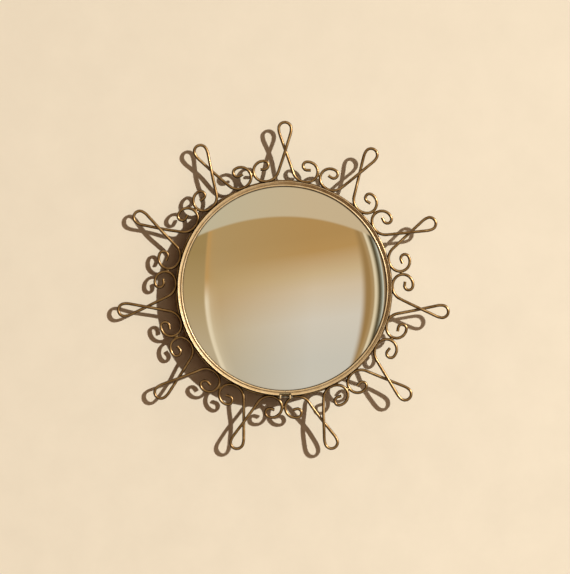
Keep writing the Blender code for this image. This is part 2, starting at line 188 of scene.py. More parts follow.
def finish_piece(piece, slot, *nodes):
    """Tie a finished piece to the part and hide the CAD nodes that it stands for; the slot, its
    finish, is not used.
    """
    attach(piece, "root")
    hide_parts(*nodes)


def dome_depth(radius):
    return GLASS_APEX - DOME_RADIUS + math.sqrt(DOME_RADIUS ** 2 - radius ** 2)


EASED = {"interpolation_type": "SMOOTHSTEP"}
COLOURS = {"data_type": "RGBA"}

# Silver behind glass: a clear, bright mirror, faintly warm, a little hazy with dust, and
# slightly darker near the edge, where shade beside the band is painted on.
silvered_glass, tree, shader, place = start_material("silvered_float_glass", Metallic=1.0)
centred = add_node(tree, "ShaderNodeMapping",
                   {"Vector": place, "Location": tuple(-CENTRE), "Scale": (1.0, 0.0, 1.0)})
reach = add_node(tree, "ShaderNodeVectorMath", {0: centred}, operation="LENGTH")
# Painted shade: a darker ring at the glass's edge, beside the band
painted_edge_shade = add_node(tree, "ShaderNodeMapRange",
                  {"Value": reach, "From Min": EDGE_SHADE_FROM, "From Max": EDGE_SHADE_TO}, **EASED)
# Dust clouds about 40 mm across
dust = add_node(tree, "ShaderNodeTexNoise",
                {"Vector": place, "Scale": 1 / 0.040, "Detail": 6.0, "Roughness": 0.6})
silver = add_node(tree, "ShaderNodeMix", {0: painted_edge_shade, 6: linear("#FBF9F3"), 7: linear("#8D8468")},
                  **COLOURS)
haze = add_node(tree, "ShaderNodeMapRange",
                {"Value": dust, "From Min": 0.35, "From Max": 0.75,
                 "To Min": 0.008, "To Max": 0.035})
link_looks(shader, Base_Color=silver, Roughness=haze)

radii = [GLASS_RADIUS * ring / GLASS_RINGS for ring in range(GLASS_RINGS)]
front = [(radius, dome_depth(radius)) for radius in radii]
rear = [(radius, depth - GLASS_THICKNESS) for radius, depth in reversed(front)]
edge_front = dome_depth(GLASS_RADIUS)
edge = [(GLASS_RADIUS - GLASS_ARRIS, edge_front + 0.3 * GLASS_ARRIS),
        (GLASS_RADIUS, edge_front - GLASS_ARRIS),
        (GLASS_RADIUS, edge_front - GLASS_THICKNESS + GLASS_ARRIS),
        (GLASS_RADIUS - GLASS_ARRIS, edge_front - GLASS_THICKNESS)]
glass = add_piece("mirror_disc", spun(front + edge + rear), silvered_glass)
finish_piece(glass, "silvered_glass", "mirror_glass")


# Back pan
# A pan pressed from 1 mm steel sheet and dipped in brown lacquer. Its wall backs the edge
# of the glass, the band's rear lip holds its border, and its middle is sunk for the hook.

PAN_SHEET = 0.0010
PAN_RADIUS = 0.1455
PAN_REAR = 0.0025                       # depth of the border's rear face
PAN_WELL = 0.0065                       # depth of the sunk middle's rear face
PAN_BORDER = 0.0150
PAN_SLOPE = 0.0040
PRESS_BEND = 0.0012                     # bend radius of the press tool

# Stoved lacquer over steel: a satin brown with a fine orange-peel skin, dusty in patches,
# and scuffed to a paler brown where it has rubbed on walls and wrapping.
lacquered_steel, tree, shader, place = start_material(
    "brown_stoving_lacquer_on_steel", Metallic=0.0, Coat_Weight=0.25, Coat_Roughness=0.25)
# Patches of wear about 25 mm across, and scratches about 1.5 mm apart
wear = add_node(tree, "ShaderNodeTexNoise",
                {"Vector": place, "Scale": 1 / 0.025, "Detail": 8.0, "Roughness": 0.65})
patches = add_node(tree, "ShaderNodeValToRGB", {0: wear},
                   stops=((0.30, "#2F2117"), (0.52, "#3B2A1D"), (0.74, "#4A3726")))
scuff_space = add_node(tree, "ShaderNodeMapping",
                       {"Vector": place, "Rotation": (0.0, 0.6, 0.0),
                        "Scale": (60.0, 1.0, 650.0)})
scuffs = add_node(tree, "ShaderNodeTexNoise",
                  {"Vector": scuff_space, "Scale": 1.0, "Detail": 3.0})
scuffed = add_node(tree, "ShaderNodeMapRange",
                   {"Value": scuffs, "From Min": 0.64, "From Max": 0.74, "To Max": 0.55})
brown = add_node(tree, "ShaderNodeMix", {0: scuffed, 6: patches, 7: linear("#8A7357")}, **COLOURS)
satin = add_node(tree, "ShaderNodeMapRange",
                 {"Value": wear, "From Min": 0.3, "From Max": 0.8,
                  "To Min": 0.38, "To Max": 0.62})
# Orange peel, 2 mm across and a few hundredths of a millimetre high
peel = add_node(tree, "ShaderNodeTexNoise", {"Vector": place, "Scale": 1 / 0.002, "Detail": 2.0})
skin = add_node(tree, "ShaderNodeBump", {"Height": peel, "Strength": 0.35, "Distance": 0.0001})
link_looks(shader, Base_Color=brown, Roughness=satin, Normal=skin)

border_end = PAN_RADIUS - PAN_BORDER
well_end = border_end - PAN_SLOPE
wall_top = edge_front - GLASS_THICKNESS - GAP
pan_section = rounded([
    (0.0, PAN_WELL + PAN_SHEET, 0),
    (well_end, PAN_WELL + PAN_SHEET, PRESS_BEND),
    (border_end, PAN_REAR + PAN_SHEET, PRESS_BEND + PAN_SHEET),
    (PAN_RADIUS - PAN_SHEET, PAN_REAR + PAN_SHEET, PRESS_BEND / 2),
    (PAN_RADIUS - PAN_SHEET, wall_top, 0),
    (PAN_RADIUS, wall_top, 0),
    (PAN_RADIUS, PAN_REAR, PRESS_BEND / 2 + PAN_SHEET),
    (border_end, PAN_REAR, PRESS_BEND),
    (well_end, PAN_WELL, PRESS_BEND + PAN_SHEET),
    (0.0, PAN_WELL, 0),
])
pan = add_piece("pressed_back_pan", spun(pan_section), lacquered_steel)
finish_piece(pan, "lacquered_steel", "back_pan")


# Rim band
# A channel rolled from brass strip, gilt and lacquered. A round bead presses on the glass,
# a fine groove and a slope rise from it to the proud outer edge, and its ends meet below.

RIM_RADIUS = 0.1470
RIM_SHEET = 0.0012
RIM_REAR = 0.0010
RIM_CREST = 0.0238                      # depth of the proud outer edge
RIM_SHOULDER = 0.0010                   # drop of the narrow face outside the proud edge
CREST_RADIUS = 0.1466                   # the proud edge
EDGE_EASE = 0.0007                      # rounding of the outer corners
REAR_LIP = 0.0055
BEAD_RADIUS = 0.0012
BEAD_PLACE = (0.1415, 0.0206)           # radius and depth of the bead's middle
BEAD_STEPS = 12
SLOPE_FOOT = (0.1427, 0.0200)           # the bottom of the groove
CREST_HOLD = 0.0004                     # keeps the slope flat up to its rounded edge
SMALL_EASE = 0.0003                     # rounding of the lip and of the proud edge
JOINT_TURN = math.radians(-0.6)         # the joint's place, clockwise from straight down
SEAM_WIDTH = 0.0005
NOTCH_WIDTH = 0.0164                    # opening in the front edge, lugs included
NOTCH_ROOT = 0.1439                     # radius where the notch starts
LUG_REAR = 0.0153
CUT_INSIDE = 0.1350                     # the cuts reach past the band on every side
CUT_OUTSIDE = 0.1500
CUT_BEFORE = 0.0300
CUT_BEHIND = 0.0020
JOINT = Matrix.Translation(CENTRE) @ Matrix.Rotation(math.pi + JOINT_TURN, 4, "Y")


def gilt_brass(name, grain, roughness, golds, side_shade_at, metallic=1.0):
    """Gilt brass, with brown painted on as shade between two leans of a face, 0 for the front and 1
    for sideways.
    """
    material, tree, shader, place = start_material(
        name, Metallic=metallic, Coat_Weight=0.45, Coat_Roughness=0.22)
    # Patina in clouds about 9 mm across
    clouds = add_node(tree, "ShaderNodeTexNoise",
                      {"Vector": place, "Scale": 1 / 0.009, "Detail": 5.0, "Roughness": 0.6})
    tint = add_node(tree, "ShaderNodeValToRGB", {0: clouds},
                    stops=tuple(zip((0.34, 0.50, 0.66), golds)))
    grain_space = add_node(tree, "ShaderNodeMapping", {"Vector": place, "Scale": grain})
    lines = add_node(tree, "ShaderNodeTexNoise",
                     {"Vector": grain_space, "Scale": 1.0, "Detail": 3.0})
    # Specks of tarnish, half a millimetre across
    specks = add_node(tree, "ShaderNodeTexNoise",
                      {"Vector": place, "Scale": 1 / 0.0012, "Detail": 2.0})
    tarnish = add_node(tree, "ShaderNodeMapRange",
                       {"Value": specks, "From Min": 0.68, "From Max": 0.78, "To Max": 0.5})
    # Painted shade: the sides and the back are painted brown, and what faces the front stays gold
    fronting = add_node(tree, "ShaderNodeVectorMath",
                        {0: place.node.outputs["Normal"], 1: (0.0, -1.0, 0.0)},
                        operation="DOT_PRODUCT")
    painted_side_shade = add_node(tree, "ShaderNodeMapRange",
                       {"Value": fronting, "From Min": 1.0 - side_shade_at[0],
                        "From Max": 1.0 - side_shade_at[1], "To Max": 0.92})
    tarnish_and_side_shade = add_node(tree, "ShaderNodeMath", {0: tarnish, 1: painted_side_shade}, operation="MAXIMUM")
    colour = add_node(tree, "ShaderNodeMix", {0: tarnish_and_side_shade, 6: tint, 7: linear("#38200C")},
                      **COLOURS)
    gloss = add_node(tree, "ShaderNodeMapRange",
                     {"Value": lines, "From Min": 0.3, "From Max": 0.7,
                      "To Min": roughness - 0.04, "To Max": roughness + 0.05})
    relief = add_node(tree, "ShaderNodeBump",
                      {"Height": lines, "Strength": 0.05, "Distance": 0.00003})
    link_looks(shader, Base_Color=colour, Roughness=gloss, Normal=relief)
    return material


def block(low, high, joint=JOINT):
    """A box between two corners, given in the joint's own axes."""
    shape = bmesh.new()
    bmesh.ops.create_cube(shape, size=1.0)
    size = Vector(high) - Vector(low)
    middle = (Vector(low) + Vector(high)) / 2
    shape.transform(joint @ Matrix.Translation(middle) @ Matrix.Diagonal((*size, 1.0)))
    return shape


def settle(piece):
    """Turn a piece with its modifiers into a plain mesh."""
    evaluated = piece.evaluated_get(bpy.context.evaluated_depsgraph_get())
    mesh = bpy.data.meshes.new_from_object(evaluated)
    piece.modifiers.clear()
    old = piece.data
    piece.data = mesh
    bpy.data.meshes.remove(old)
    mesh.name = piece.name


def carve(piece, *shapes):
    """Cut bmesh solids out of a piece."""
    cutters = [add_piece("cutter", shape, piece.data.materials[0]) for shape in shapes]
    for cutter in cutters:
        piece.modifiers.new("Cut", "BOOLEAN").object = cutter
    settle(piece)
    for cutter in cutters:
        bpy.data.objects.remove(cutter)


# Strip brass, gilt under clouded lacquer: a satin mix of metal and lacquer, painted brown
# on its sides as shade, with faint lines along the strip, about 0.8 mm apart, drawn coarser than
# they are.
strip_brass = gilt_brass("gilt_strip_brass", (40.0, 1200.0, 40.0), 0.40,
                         ("#D6B98A", "#E0C69A", "#E9D3AC"), (0.29, 0.46), metallic=0.45)

lip_end = RIM_RADIUS - REAR_LIP
rim_bore = RIM_RADIUS - RIM_SHEET
bead_turns = [math.pi * (1 - part / BEAD_STEPS) for part in range(BEAD_STEPS)]
bead = [(BEAD_PLACE[0] + BEAD_RADIUS * math.cos(turn),
         BEAD_PLACE[1] + BEAD_RADIUS * math.sin(turn), 0) for turn in bead_turns]
rim_section = rounded([
    (RIM_RADIUS, RIM_REAR, EDGE_EASE),
    (lip_end, RIM_REAR, SMALL_EASE),
    (lip_end, RIM_REAR + RIM_SHEET, SMALL_EASE),
    (rim_bore, RIM_REAR + RIM_SHEET, 0),
    (rim_bore, BEAD_PLACE[1] - RIM_SHEET, 0),
    (BEAD_PLACE[0] - BEAD_RADIUS, BEAD_PLACE[1] - RIM_SHEET, 0),
    *bead,
    (*SLOPE_FOOT, 0),
    (CREST_RADIUS - CREST_HOLD, RIM_CREST - CREST_HOLD, 0),
    (CREST_RADIUS, RIM_CREST, SMALL_EASE),
    (RIM_RADIUS, RIM_CREST - RIM_SHOULDER, EDGE_EASE),
])
band = add_piece("rolled_rim_band", spun(rim_section), strip_brass, sharp_from=30.0)
carve(band,
      block((-SEAM_WIDTH / 2, -CUT_BEFORE, CUT_INSIDE), (SEAM_WIDTH / 2, CUT_BEHIND, CUT_OUTSIDE)),
      block((-NOTCH_WIDTH / 2, -CUT_BEFORE, NOTCH_ROOT), (NOTCH_WIDTH / 2, -LUG_REAR, CUT_OUTSIDE)))
smooth(band, 30.0)
finish_piece(band, "gilt_brass", "rim_band")


# Clamp at the joint
# Two brass lugs stand in a notch of the band's front edge, brazed to its ends. A small
# plated screw with a slotted head passes through both, and its nut draws the band tight.

LUG_FRONT = 0.0228
LUG_THICKNESS = 0.0022
LUG_TOP = 0.1512
LUG_CORNER = 0.0005                     # rounding of the lugs
SCREW_RADIUS = 0.0010
HEAD_RADIUS = 0.0018
HEAD_LENGTH = 0.0018
HEAD_CROWN = 0.62                       # share of the head inside its rounded corner
HEAD_SLOT_WIDTH = 0.0008
HEAD_SLOT_FLOOR = 0.55                  # share of the head's length below the slot
HEAD_SLOT_TURN = 0.7
NUT_LENGTH = 0.0016
NUT_EDGE = 0.0002
SCREW_END = 0.0010
HOLE_REACH = 0.0120                     # half the length of the drill
SMALL_STEPS = 32

# Zinc plate on steel, gone dull: grey with a faint warm cast, cloudy, and half rough.
plated_steel, tree, shader, place = start_material("zinc_plated_steel", Metallic=1.0)
# Clouds of dull plate, 5 mm across, and fine rubbing marks
dull = add_node(tree, "ShaderNodeTexNoise",
                {"Vector": place, "Scale": 1 / 0.005, "Detail": 6.0, "Roughness": 0.7})
plate = add_node(tree, "ShaderNodeValToRGB", {0: dull},
                 stops=((0.30, "#6F6B64"), (0.50, "#99948A"), (0.72, "#BDB8AD")))
rubbing_space = add_node(tree, "ShaderNodeMapping",
                         {"Vector": place, "Rotation": (0.0, 0.3, 0.0),
                          "Scale": (80.0, 80.0, 1400.0)})
rubbing = add_node(tree, "ShaderNodeTexNoise", {"Vector": rubbing_space, "Scale": 1.0})
plate_gloss = add_node(tree, "ShaderNodeMapRange",
                       {"Value": rubbing, "From Min": 0.3, "From Max": 0.7,
                        "To Min": 0.30, "To Max": 0.50})
plate_relief = add_node(tree, "ShaderNodeBump",
                        {"Height": rubbing, "Strength": 0.2, "Distance": 0.00005})
link_looks(shader, Base_Color=plate, Roughness=plate_gloss, Normal=plate_relief)

lug_outer = NOTCH_WIDTH / 2 - GAP
lug_inner = lug_outer - LUG_THICKNESS
screw_middle = JOINT @ Matrix.Translation(
    (0.0, -(LUG_FRONT + LUG_REAR) / 2, RIM_RADIUS + HEAD_RADIUS + GAP))
screw_line = screw_middle @ Matrix.Rotation(math.pi / 2, 4, "Y")


def drill(radius, reach, place, steps=SMALL_STEPS):
    """A round cutter, as long to both sides of its place."""
    return spun([(0.0, -reach), (radius, -reach), (radius, reach), (0.0, reach)], place, steps)


for side, near, far in (("left", lug_inner, lug_outer), ("right", -lug_outer, -lug_inner)):
    lug = add_piece(f"clamp_lug_{side}_brazed",
                    block((near, -LUG_FRONT, rim_bore), (far, -LUG_REAR, LUG_TOP)), strip_brass)
    corners = lug.modifiers.new("Corners", "BEVEL")
    corners.width = LUG_CORNER
    corners.segments = 3
    carve(lug, drill(SCREW_RADIUS + GAP, HOLE_REACH, screw_line))
    smooth(lug, 40.0)
    finish_piece(lug, "gilt_brass", f"clamp_lug_{side}")

head_foot = lug_outer + GAP
head_top = head_foot + HEAD_LENGTH
nut_top = -head_foot
screw_tip = nut_top - NUT_LENGTH - SCREW_END
screw_section = rounded([
    (0.0, head_top, 0),
    (HEAD_CROWN * HEAD_RADIUS, head_top, 0.0004),
    (HEAD_RADIUS, head_foot + HEAD_CROWN * HEAD_LENGTH, 0.0003),
    (HEAD_RADIUS, head_foot, 0.0002),
    (SCREW_RADIUS, head_foot, 0),
    (SCREW_RADIUS, screw_tip, 0.0003),
    (0.0, screw_tip, 0),
])
screw = add_piece("clamp_cheese_head_screw", spun(screw_section, screw_line, SMALL_STEPS),
                  plated_steel)
slot_low = (head_foot + HEAD_SLOT_FLOOR * HEAD_LENGTH, -HEAD_SLOT_WIDTH / 2, -2 * HEAD_RADIUS)
slot_high = (head_foot + 2 * HEAD_LENGTH, HEAD_SLOT_WIDTH / 2, 2 * HEAD_RADIUS)
carve(screw, block(slot_low, slot_high, screw_middle @ Matrix.Rotation(HEAD_SLOT_TURN, 4, "X")))
smooth(screw, 35.0)
finish_piece(screw, "plated_steel", "clamp_screw")

nut_bore = SCREW_RADIUS + GAP
nut_section = [(nut_bore, nut_top), (HEAD_RADIUS, nut_top),
               (HEAD_RADIUS, nut_top - NUT_LENGTH), (nut_bore, nut_top - NUT_LENGTH)]
nut = add_piece("clamp_hexagon_nut", spun(nut_section, screw_line, 6), plated_steel)
edges = nut.modifiers.new("Edges", "BEVEL")
edges.width = NUT_EDGE
edges.segments = 2
settle(nut)
finish_piece(nut, "plated_steel", "clamp_nut")


# Wire hoop
# A hoop of 3 mm brass wire, drawn round the side of the band just behind the rays, to
# which they are brazed.

HOOP_RADIUS = 0.1488
HOOP_DEPTH = 0.0087
HOOP_WIRE = 0.0030
WIRE_SIDES = 16
ROD_GOLDS = ("#7D5F38", "#95774B", "#AF9166")
ROD_SIDE_SHADE = (0.05, 0.28)                # leans between which the painted side shade comes in

# Drawn brass, gilt: all metal, darker and smoother than the strip, with faint drawing marks,
# and brown painted on its sides as shade.
drawn_brass = gilt_brass("gilt_drawn_brass", (260.0, 260.0, 260.0), 0.35, ROD_GOLDS, ROD_SIDE_SHADE)
wire_turns = [2 * math.pi * part / WIRE_SIDES for part in range(WIRE_SIDES)]
wire_section = [(HOOP_RADIUS + HOOP_WIRE / 2 * math.cos(turn),
                 HOOP_DEPTH + HOOP_WIRE / 2 * math.sin(turn)) for turn in wire_turns]
hoop = add_piece("drawn_wire_hoop", spun(wire_section), drawn_brass, sharp_from=60.0)
finish_piece(hoop, "gilt_brass", "ray_hoop")


# Rays
# Eleven lengths of 4.2 mm brass rod, bent cold round pegs: a curl and a scroll at each end,
# two legs that cross, and a drop-shaped loop. All were bent on one jig, so only a slight
# lean differs from ray to ray. Each touches the band twice and its neighbours once.

RAY_COUNT = 11
ROD_DIAMETER = 0.0042
ROD_SIDES = 16
RAY_DEPTH = 0.0126
TIP_RADIUS = 0.2296
LOOP_BEND = 0.0086
LOOP_SIDE_BEND = 0.0250
FOOT_BEND = 0.0190
SCROLL_BEND = 0.0139
HOOK_BEND = 0.0058
TAIL_LENGTH = 0.0050
HOOK_JOIN = math.radians(95.0)
SCROLL_JOIN = math.radians(-65.0)
ROD_STEP = math.radians(6.0)            # most that the rod turns from point to point
LEG_STEPS = 12
ROD_CHAMFER = 0.0004                    # broken edge of the sawn ends
CHAMFER_SHARE = 0.8                     # thickness that it leaves
LEANS = (-0.4, -0.3, -0.1, -0.5, -0.3, -1.1, 0.4, 0.4, -0.1, 1.0, 0.6)


def on_circle(centre, radius, angle):
    return Vector((centre.x + radius * math.cos(angle), centre.y + radius * math.sin(angle)))


def bent(centre, radius, start, end):
    """Points along a clockwise bend, its start left out."""
    count = math.ceil((start - end) / ROD_STEP)
    return [on_circle(centre, radius, start + (end - start) * step / count)
            for step in range(1, count + 1)]


# Half a ray in its own plane, x to the right and y outwards from the mirror's centre. Its
# circles follow from what they touch: the band, the next ray's scroll and the loop's tip.
half_pitch = math.pi / RAY_COUNT
joined = Vector((math.cos(SCROLL_JOIN), math.sin(SCROLL_JOIN)))
border = Vector((math.cos(half_pitch), -math.sin(half_pitch)))
foot_distance = RIM_RADIUS + GAP + ROD_DIAMETER / 2 + FOOT_BEND
room = SCROLL_BEND + (ROD_DIAMETER + GAP) / 2 + (FOOT_BEND - SCROLL_BEND) * joined.dot(border)
foot_angle = half_pitch - math.asin(room / foot_distance)
foot = Vector((foot_distance * math.sin(foot_angle), foot_distance * math.cos(foot_angle)))
scroll = foot + (FOOT_BEND - SCROLL_BEND) * joined
hook = on_circle(scroll, SCROLL_BEND - HOOK_BEND, HOOK_JOIN)
loop_top = Vector((0.0, TIP_RADIUS - LOOP_BEND))
flank = loop_top + Vector((LOOP_SIDE_BEND - LOOP_BEND, 0.0))
across = flank - foot
leg = math.sqrt(across.length_squared - (LOOP_SIDE_BEND - FOOT_BEND) ** 2)
heading = math.atan2(across.y, across.x) + math.atan2(LOOP_SIDE_BEND - FOOT_BEND, leg)
off_leg = heading + math.pi / 2 - 2 * math.pi
leg_start = on_circle(foot, FOOT_BEND, off_leg)
leg_end = on_circle(flank, LOOP_SIDE_BEND, off_leg)
crossing = leg_start.lerp(leg_end, leg_start.x / (leg_start.x - leg_end.x))

tail = on_circle(hook, HOOK_BEND, -math.pi / 2)
half_line = [tail + Vector((TAIL_LENGTH, 0.0)),
             tail + Vector((TAIL_LENGTH - ROD_CHAMFER, 0.0)), tail]
half_line += bent(hook, HOOK_BEND, -math.pi / 2, HOOK_JOIN - 2 * math.pi)
half_line += bent(scroll, SCROLL_BEND, HOOK_JOIN, SCROLL_JOIN)
half_line += bent(foot, FOOT_BEND, SCROLL_JOIN, off_leg)
flat_count = len(half_line)
half_line += [leg_start.lerp(leg_end, part / LEG_STEPS) for part in range(1, LEG_STEPS + 1)]
half_line += bent(flank, LOOP_SIDE_BEND, off_leg, -math.pi)
half_line += bent(loop_top, LOOP_BEND, math.pi, math.pi / 2)


def ease(part):
    return part * part * (3.0 - 2.0 * part)


def ray_point(number, side, lean):
    """Place a point of half a ray: side 1 is the half that passes behind, -1 its mirror."""
    point = half_line[number]
    if number < flat_count:
        return Vector((side * point.x, 0.0, point.y))
    if point.y > crossing.y:
        share = (TIP_RADIUS - point.y) / (TIP_RADIUS - crossing.y)
    else:
        share = max(0.0, (point.y - leg_start.y) / (crossing.y - leg_start.y))
    back = (ROD_DIAMETER + GAP) / 2 * ease(share) * side
    turn = lean * ease(max(0.0, (point.y - leg_start.y) / (TIP_RADIUS - leg_start.y)))
    x = side * point.x
    return Vector((x * math.cos(turn) + point.y * math.sin(turn), back,
                   point.y * math.cos(turn) - x * math.sin(turn)))


def ray_line(lean):
    """The line of a whole ray, from one sawn end to the other."""
    behind, before = [[ray_point(number, side, lean) for number in range(len(half_line))]
                      for side in (1, -1)]
    return behind + before[-2::-1]


def start_tree(name, *inputs):
    """A node tree with its geometry and named inputs, and the node that gives them."""
    tree = bpy.data.node_groups.new(name, "GeometryNodeTree")
    for label, kind in (("Geometry", "Geometry"), *inputs, ("Finish", "Material")):
        tree.interface.new_socket(label, in_out="INPUT", socket_type=f"NodeSocket{kind}")
    tree.interface.new_socket("Geometry", in_out="OUTPUT", socket_type="NodeSocketGeometry")
    return tree, add_node(tree, "NodeGroupInput")


def end_tree(tree, shapes, finish):
    """End a tree with plain geometry in its finish."""
    whole = add_node(tree, "GeometryNodeRealizeInstances", {"Geometry": shapes})
    coated = add_node(tree, "GeometryNodeSetMaterial", {"Geometry": whole, "Material": finish})
    add_node(tree, "NodeGroupOutput", {"Geometry": coated})


def grow(piece, tree, values):
    """Turn a piece's points into the plain mesh that a tree makes of them."""
    modifier = piece.modifiers.new(tree.name, "NODES")
    modifier.node_group = tree
    for socket in tree.interface.items_tree:
        if socket.name in values:
            modifier[socket.identifier] = values[socket.name]
    settle(piece)


# The rod is drawn along its line by a node tree: a circle swept along the curve, its ends
# closed, and thinned at the sawn ends by the line's own "thickness".
rod_tree, given = start_tree("Bent rod", ("Rod diameter", "Float"), ("Sides", "Int"))
line = add_node(rod_tree, "GeometryNodeMeshToCurve", {"Mesh": given.outputs["Geometry"]})
thickness = add_node(rod_tree, "GeometryNodeInputNamedAttribute", {"Name": "thickness"},
                     data_type="FLOAT")
tapered = add_node(rod_tree, "GeometryNodeSetCurveRadius", {"Curve": line, "Radius": thickness})
radius = add_node(rod_tree, "ShaderNodeMath",
                  {0: given.outputs["Rod diameter"], 1: 0.5}, operation="MULTIPLY")
circle = add_node(rod_tree, "GeometryNodeCurvePrimitiveCircle",
                  {"Resolution": given.outputs["Sides"], "Radius": radius})
swept = add_node(rod_tree, "GeometryNodeCurveToMesh",
                 {"Curve": tapered, "Profile Curve": circle, "Fill Caps": True})
end_tree(rod_tree, swept, given.outputs["Finish"])

for number, lean in enumerate(LEANS):
    place_ray = Matrix.Translation(CENTRE - Vector((0.0, RAY_DEPTH, 0.0))) @ Matrix.Rotation(
        2 * math.pi * number / RAY_COUNT, 4, "Y")
    points = [place_ray @ point for point in ray_line(math.radians(lean))]
    mesh = bpy.data.meshes.new("ray_line")
    mesh.from_pydata(points, [(start, start + 1) for start in range(len(points) - 1)], [])
    widths = mesh.attributes.new("thickness", "FLOAT", "POINT")
    widths.data.foreach_set(
        "value", [CHAMFER_SHARE] + [1.0] * (len(points) - 2) + [CHAMFER_SHARE])
    ray = add_object(f"bent_rod_ray_{number + 1:02d}", mesh)
    grow(ray, rod_tree,
         {"Rod diameter": ROD_DIAMETER, "Sides": ROD_SIDES, "Finish": drawn_brass})
    smooth(ray, 50.0)
    finish_piece(ray, "gilt_brass", f"ray_{number + 1:02d}")


# Brazed joints
# Small lumps of brass braze, run into the places where the rays touch the band and the hoop
# and each other's scrolls. Gilt over with the rest.

BRAZE_RADIUS = 0.1481                   # from the mirror's axis, between band and rod
BRAZE_DEPTH = 0.0112                    # between hoop and rod
FOOT_LUMP = (0.0046, 0.0026, 0.0014)    # half sizes: along the band, in depth, outwards
SCROLL_LUMP = (0.0012, 0.0014, 0.0030)
LEAST_LUMP = 0.85                       # lumps differ in size between these shares
MOST_LUMP = 1.12
BRAZE_SEED = 7

# Run braze, gilt with the rods: their colours and painted side shade, with a finer grain.
braze_brass = gilt_brass("gilt_brazing_brass", (500.0, 500.0, 500.0), 0.36, ROD_GOLDS, ROD_SIDE_SHADE)

scroll_reach = scroll.x * math.sin(half_pitch) + scroll.y * math.cos(half_pitch)
lump_places, lump_turns, lump_sizes = [], [], []
for number in range(RAY_COUNT):
    ray_turn = 2 * math.pi * number / RAY_COUNT
    for turn, reach, depth, size in (
            (ray_turn + foot_angle, BRAZE_RADIUS, BRAZE_DEPTH, FOOT_LUMP),
            (ray_turn - foot_angle, BRAZE_RADIUS, BRAZE_DEPTH, FOOT_LUMP),
            (ray_turn + half_pitch, scroll_reach, RAY_DEPTH, SCROLL_LUMP)):
        lump_places.append(
            CENTRE + Vector((reach * math.sin(turn), -depth, reach * math.cos(turn))))
        lump_turns.append(turn)
        lump_sizes.extend(size)

lump_tree, given = start_tree(
    "Brazed lumps", ("Smallest", "Float"), ("Largest", "Float"), ("Seed", "Int"))
sphere = add_node(lump_tree, "GeometryNodeMeshIcoSphere", {"Radius": 1.0, "Subdivisions": 4})
turn_value = add_node(lump_tree, "GeometryNodeInputNamedAttribute", {"Name": "turn"},
                      data_type="FLOAT")
size_value = add_node(lump_tree, "GeometryNodeInputNamedAttribute", {"Name": "size"},
                      data_type="FLOAT_VECTOR")
angles = add_node(lump_tree, "ShaderNodeCombineXYZ", {"Y": turn_value})
turned_by = add_node(lump_tree, "FunctionNodeEulerToRotation", {0: angles})
uneven = add_node(lump_tree, "FunctionNodeRandomValue",
                  {2: given.outputs["Smallest"], 3: given.outputs["Largest"],
                   "Seed": given.outputs["Seed"]}, data_type="FLOAT")
scaled = add_node(lump_tree, "ShaderNodeVectorMath",
                  {0: size_value, "Scale": uneven}, operation="SCALE")
placed = add_node(lump_tree, "GeometryNodeInstanceOnPoints",
                  {"Points": given.outputs["Geometry"], "Instance": sphere,
                   "Rotation": turned_by, "Scale": scaled})
end_tree(lump_tree, placed, given.outputs["Finish"])

mesh = bpy.data.meshes.new("lump_points")
mesh.from_pydata(lump_places, [], [])
mesh.attributes.new("turn", "FLOAT", "POINT").data.foreach_set("value", lump_turns)
mesh.attributes.new("size", "FLOAT_VECTOR", "POINT").data.foreach_set("vector", lump_sizes)
lumps = add_object("brazed_joints", mesh)
grow(lumps, lump_tree, {"Smallest": LEAST_LUMP, "Largest": MOST_LUMP, "Seed": BRAZE_SEED,
                        "Finish": braze_brass})
lumps.data.shade_smooth()
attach(lumps, "root")


# Hanger strap and its rivets
# A strap of 1.5 mm plated steel, its middle raised for the hook's head and pierced with a
# keyhole, its two feet riveted to the pan's sunk middle with domed steel rivets.

STRAP_SHEET = 0.0015
STRAP_RAISED = 0.0170                   # half the width of the raised middle
STRAP_RAMP = 0.0040
STRAP_FOOT = 0.0120
STRAP_BELOW = 0.0090
STRAP_ABOVE = 0.0210
KEYHOLE_RADIUS = 0.0036
KEYHOLE_HEIGHT = 0.0080
KEY_SLOT_WIDTH = 0.0036
KEY_SLOT_LENGTH = 0.0075
RIVET_RADIUS = 0.0016
RIVET_HEAD = 0.0032
RIVET_HEIGHT = 0.0016
RIVET_PLAY = 0.0001
RIVET_FACE = 0.7                        # share of the inner head that is flat
RIVET_STEPS = 8
KEY_CUT = 0.0100                        # half the length of the round cutters
KEY_SLOT_CUT = 0.0090                   # a little less, so that no faces meet
KEY_STEPS = 48
WORN_EDGE = 0.0002

foot_front = PAN_WELL - GAP
foot_rear = foot_front - STRAP_SHEET
foot_start = STRAP_RAISED + STRAP_RAMP
foot_end = foot_start + STRAP_FOOT
shift = STRAP_SHEET * STRAP_RAMP / (STRAP_RAMP + foot_rear)
side_section = [(STRAP_RAISED, 0.0, 0.0012), (foot_start, foot_rear, 0.0008),
                (foot_end, foot_rear, 0), (foot_end, foot_front, 0),
                (foot_start - shift, foot_front, 0.0016),
                (STRAP_RAISED - shift, STRAP_SHEET, 0.0006)]
other_side = [(-x, depth, bend) for x, depth, bend in reversed(side_section)]
strap_outline = rounded(side_section + other_side)

